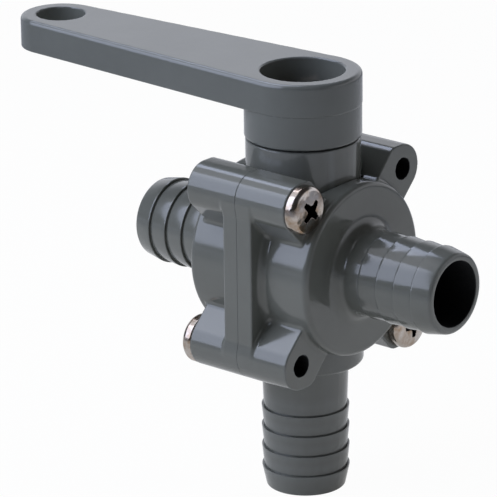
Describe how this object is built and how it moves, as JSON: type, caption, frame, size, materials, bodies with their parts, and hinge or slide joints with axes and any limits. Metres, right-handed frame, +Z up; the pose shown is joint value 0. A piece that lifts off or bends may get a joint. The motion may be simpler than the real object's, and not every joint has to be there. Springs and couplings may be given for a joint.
{
  "type": "three-way ball valve",
  "caption": "Three-way ball valve with barbed hose ports, a clamped two-part case and a long lever with an eye.",
  "frame": {"origin": "centre of the bottom port's open end", "axes": "+Z up the stem axis, +X along the front side port, so at rest the lever points along -X over the rear port"},
  "size_m": [0.1256, 0.0474, 0.0987],
  "materials": {
    "case_plastic": "satin moulded, grey",
    "body_plastic": "satin moulded, grey",
    "lever_plastic": "satin moulded, grey",
    "stem_plastic": "machined, dark grey",
    "ball_plastic": "polished, grey",
    "seat_plastic": "machined, white",
    "seal_rubber": "black",
    "stainless_steel": "bright, cold-headed"
  },
  "bodies": {
    "housing": {"front_cap": "case_plastic", "rear_cap": "case_plastic", "centre_body": "body_plastic", "front_seat": "seat_plastic", "rear_seat": "seat_plastic", "front_seat_ring": "seal_rubber", "rear_seat_ring": "seal_rubber", "front_cap_seal": "seal_rubber", "rear_cap_seal": "seal_rubber", "front_upper_screw": "stainless_steel", "front_lower_screw": "stainless_steel", "rear_upper_screw": "stainless_steel", "rear_lower_screw": "stainless_steel"},
    "handle": {"lever": "lever_plastic", "lever_washer": "stainless_steel", "lever_screw": "stainless_steel", "stem": "stem_plastic", "thrust_washer": "seat_plastic", "lower_stem_seal": "seal_rubber", "upper_stem_seal": "seal_rubber"},
    "ball": {"ball": "ball_plastic"}
  },
  "joints": [
    {"name": "lever_turn", "type": "hinge", "parent": "housing", "child": "handle", "pos_m": [0, 0, 0.0833], "axis": [0, 0, 1], "range_deg": [0, 180]},
    {"name": "ball_turn", "type": "hinge", "parent": "housing", "child": "ball", "pos_m": [0, 0, 0.0553], "axis": [0, 0, 1], "range_deg": [0, 180]}
  ],
  "couplings": [
    {"joint": "ball_turn", "follows": "lever_turn", "ratio": 1}
  ]
}
